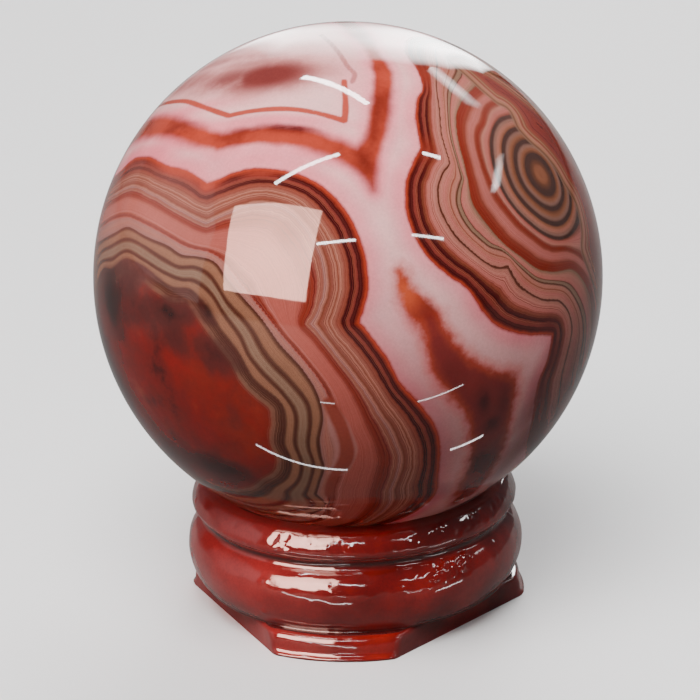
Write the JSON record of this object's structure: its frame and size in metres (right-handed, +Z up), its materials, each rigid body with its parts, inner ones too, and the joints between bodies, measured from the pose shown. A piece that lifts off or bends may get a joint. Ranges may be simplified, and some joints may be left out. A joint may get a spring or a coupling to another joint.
{
  "type": "agate sphere",
  "caption": "Polished ball of banded red, pink and white agate resting in the bowl of a low turned stand of red lacquered wood.",
  "frame": {"origin": "centre of the stand's foot, on the surface that it stands on", "axes": "+Z up through the middle of the stand and the ball, -Y towards the front that the picture shows, +X to the viewer's right"},
  "size_m": [0.05, 0.05, 0.0588],
  "materials": {
    "agate": "polished to a mirror gloss, banded in white, pink, orange, tan and dark red",
    "lacquered_wood": "thick glossy red lacquer, uneven, with runs and small blisters"
  },
  "bodies": {
    "root": {"agate_ball": "agate", "wooden_stand": "lacquered_wood"}
  },
  "joints": []
}
